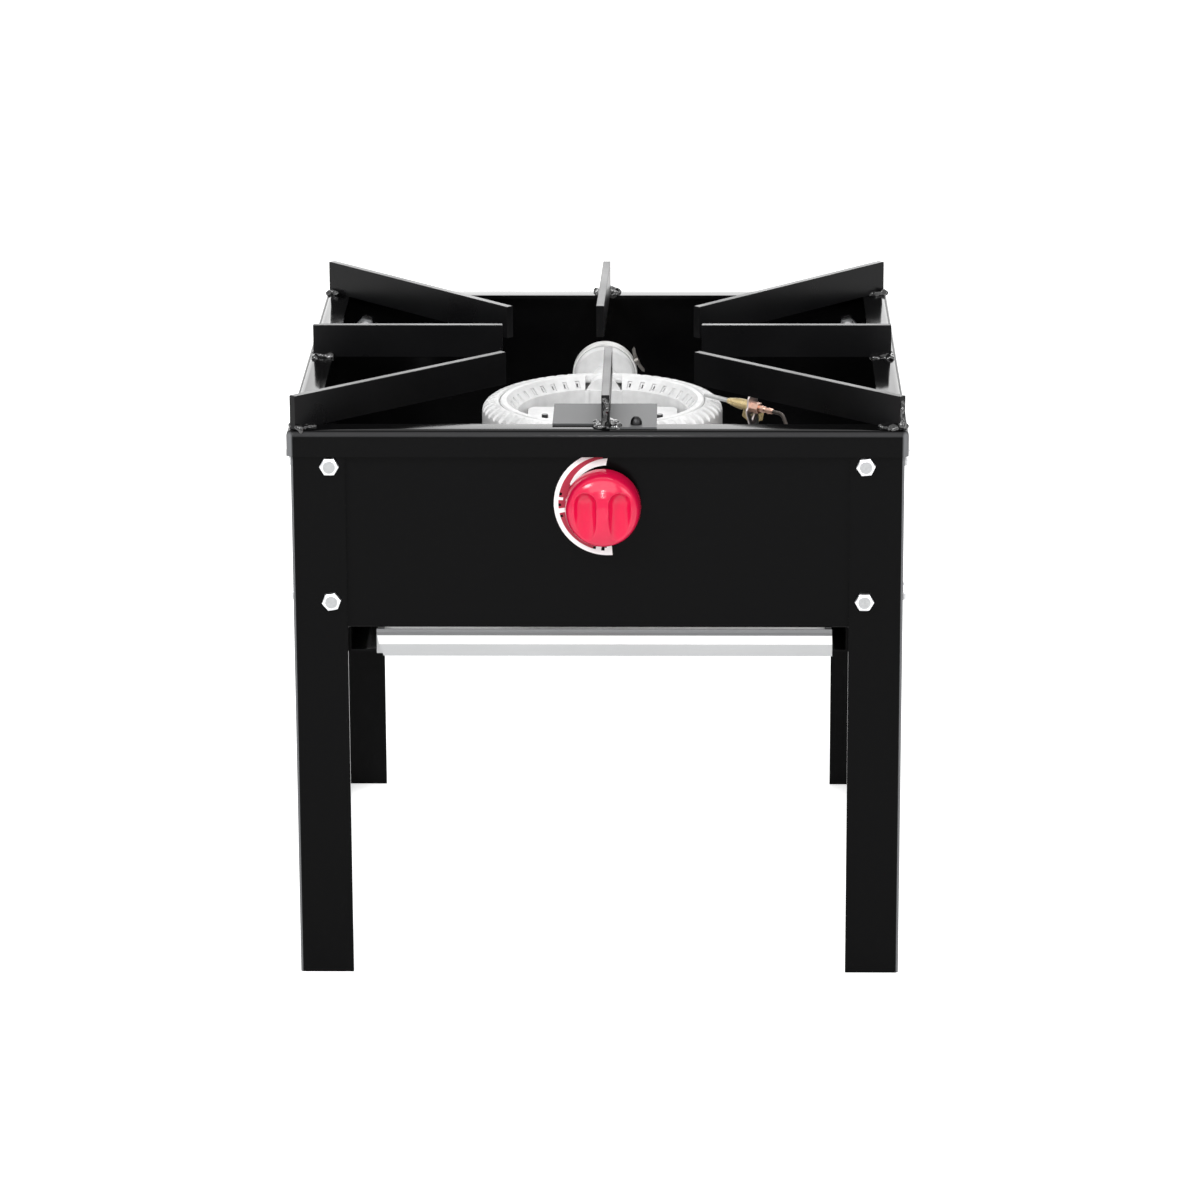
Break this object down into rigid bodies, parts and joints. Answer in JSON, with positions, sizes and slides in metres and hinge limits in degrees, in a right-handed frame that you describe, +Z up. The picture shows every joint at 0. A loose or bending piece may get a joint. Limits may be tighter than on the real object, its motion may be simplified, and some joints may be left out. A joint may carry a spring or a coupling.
{
  "type": "single burner gas stove",
  "caption": "Free standing gas stove with a cast ring burner, welded pan support blades, push and turn valve knob and a slide-out drip tray.",
  "frame": {"origin": "on the floor in the middle of the stove, under the burner", "axes": "+Z up, -Y towards the user (knob side), +X to the user's right"},
  "size_m": [0.4606, 0.508, 0.447],
  "materials": {
    "black_paint": "gloss black stove enamel on steel",
    "zinc": "bright zinc plated steel",
    "cast_silver": "cast iron painted with silver heat paint",
    "shutter_steel": "pressed steel, satin",
    "brass": "machined brass",
    "copper": "drawn copper",
    "pipe_metal": "drawn aluminium tube",
    "steel": "turned steel",
    "red_plastic": "glossy moulded plastic",
    "shield_steel": "plain grey sheet steel",
    "tray_steel": "bright galvanised sheet"
  },
  "bodies": {
    "frame": {"back_panel": "black_paint", "bracket_screw": "zinc", "burner_body": "cast_silver", "burner_bolts": "zinc", "burner_cap": "cast_silver", "burner_pipe": "pipe_metal", "burner_support_bar": "black_paint", "collar_nut": "brass", "front_panel": "black_paint", "heat_shield": "shield_steel", "injector_holder": "brass", "injector_jet": "brass", "inlet_lock_nut": "brass", "inlet_nozzle": "brass", "left_panel": "black_paint", "leg_bolts": "zinc", "leg_front_left": "black_paint", "leg_front_right": "black_paint", "leg_nuts": "zinc", "leg_rear_left": "black_paint", "leg_rear_right": "black_paint", "magnet_unit": "brass", "return_spring": "steel", "right_panel": "black_paint", "runner_rivets": "zinc", "shield_nut": "zinc", "shield_screw": "zinc", "supply_pipe": "pipe_metal", "support_front": "black_paint", "support_front_left": "black_paint", "support_front_right": "black_paint", "support_left": "black_paint", "support_rear": "black_paint", "support_rear_left": "black_paint", "support_rear_right": "black_paint", "support_right": "black_paint", "thermocouple_bracket": "zinc", "thermocouple_ferrule": "copper", "thermocouple_lead": "copper", "thermocouple_nut": "brass", "thermocouple_sleeve": "brass", "thermocouple_tip": "steel", "top_frame": "black_paint", "tray_runner_left": "black_paint", "tray_runner_right": "black_paint", "valve_body": "brass", "valve_fittings": "brass"},
    "plunger": {"push_pin": "steel"},
    "knob": {"knob": "red_plastic", "spindle": "steel"},
    "shutter": {"air_shutter": "shutter_steel", "shutter_lock_screw": "brass"},
    "tray": {"drip_tray": "tray_steel"}
  },
  "joints": [
    {"name": "knob_push", "type": "slide", "parent": "frame", "child": "plunger", "axis": [0, 1, 0], "range_m": [0, 0.003], "stiffness_N_per_m": 900, "springref_m": -0.003, "deforming": ["return_spring"]},
    {"name": "knob_turn", "type": "hinge", "parent": "plunger", "child": "knob", "pos_m": [0.004, -0.24, 0.365], "axis": [0, -1, 0], "range_deg": [0, 180]},
    {"name": "air_shutter_turn", "type": "hinge", "parent": "frame", "child": "shutter", "pos_m": [0, 0.14, 0.374], "axis": [0, 1, 0], "range_deg": [0, 60]},
    {"name": "drip_tray_slide", "type": "slide", "parent": "frame", "child": "tray", "axis": [0, -1, 0], "range_m": [0, 0.3]}
  ]
}
